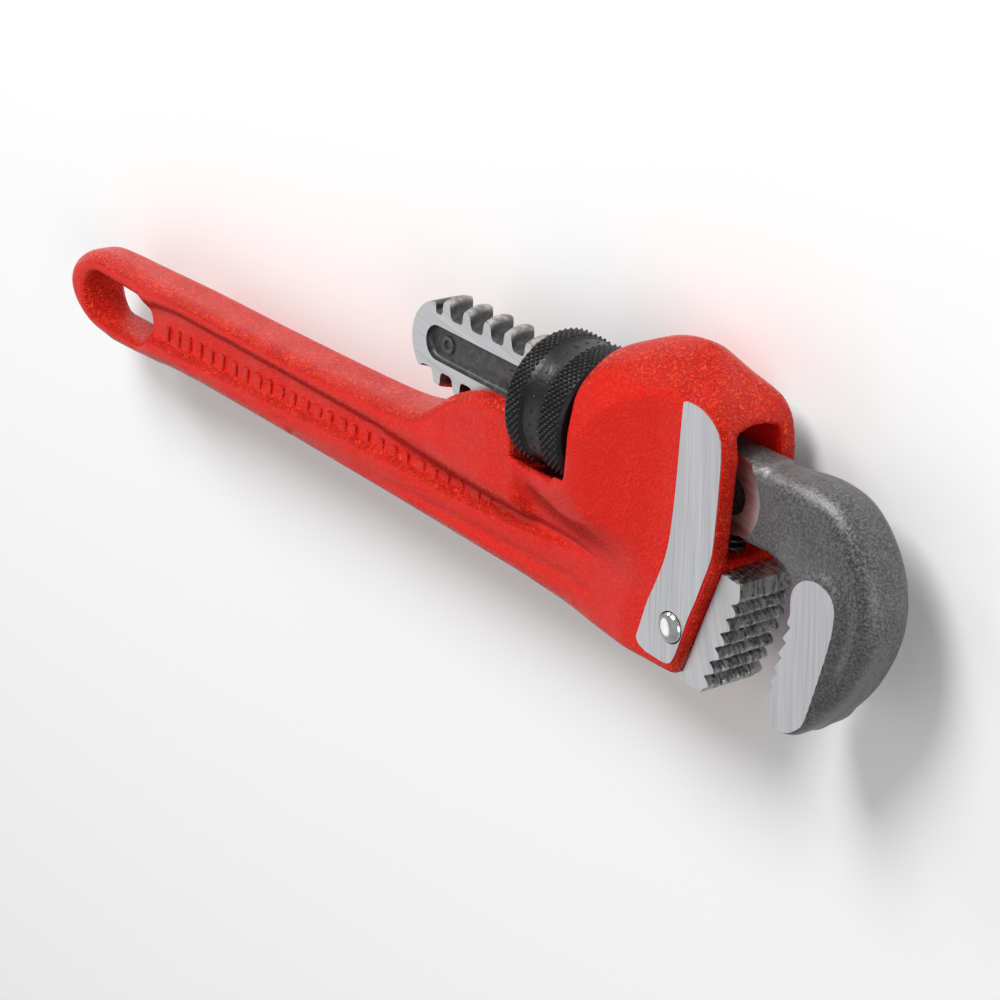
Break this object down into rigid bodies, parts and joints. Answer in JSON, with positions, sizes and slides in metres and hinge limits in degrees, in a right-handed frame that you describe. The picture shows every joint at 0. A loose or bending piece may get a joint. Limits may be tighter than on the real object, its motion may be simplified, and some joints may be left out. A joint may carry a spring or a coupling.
{
  "type": "pipe wrench",
  "caption": "Small straight pipe wrench with a cast I-section handle, a sliding toothed hook jaw on a threaded shank, a knurled adjusting nut and a pinned toothed heel jaw.",
  "frame": {"origin": "bottom centre of the bounding box, the wrench lying on its side with its thickness upright", "axes": "+X along the shank from the handle's end to the jaws, +Y from the jaw opening to the back of the housing, +Z the thickness of the wrench"},
  "size_m": [0.1672, 0.0408, 0.017],
  "materials": {
    "red_paint": "gloss enamel over a rough iron casting, ground bare on the two cheeks",
    "ground_steel": "ground on the sides, rough milled teeth",
    "bright_steel": "polished dome",
    "forged_steel": "blasted dark grey forging with ground side flats and a cut thread",
    "black_oxide": "black oxide, two diamond-knurled bands",
    "spring_steel": "dark tempered spring steel"
  },
  "bodies": {
    "handle": {"handle": "red_paint", "heel_jaw": "ground_steel", "heel_jaw_pin": "bright_steel", "coil_spring": "spring_steel"},
    "float": {"flat_spring": "spring_steel"},
    "hook": {"hook_jaw": "forged_steel"},
    "nut": {"adjusting_nut": "black_oxide"}
  },
  "joints": [
    {"name": "shank_rock", "type": "hinge", "parent": "handle", "child": "float", "pos_m": [0.03087, 0.00505, 0.0085], "axis": [0, 0, 1], "range_deg": [-2.5, 1.2], "stiffness_Nm_per_rad": 1, "deforming": ["coil_spring"]},
    {"name": "hook_slide", "type": "slide", "parent": "float", "child": "hook", "axis": [1, 0, 0], "range_m": [-0.0042, 0.019], "deforming": ["coil_spring"]},
    {"name": "nut_spin", "type": "hinge", "parent": "float", "child": "nut", "pos_m": [0.03087, 0.00505, 0.0085], "axis": [1, 0, 0], "range_deg": [-845, 190]}
  ],
  "couplings": [
    {"joint": "nut_spin", "follows": "hook_slide", "rad_per_m": -773.79}
  ]
}
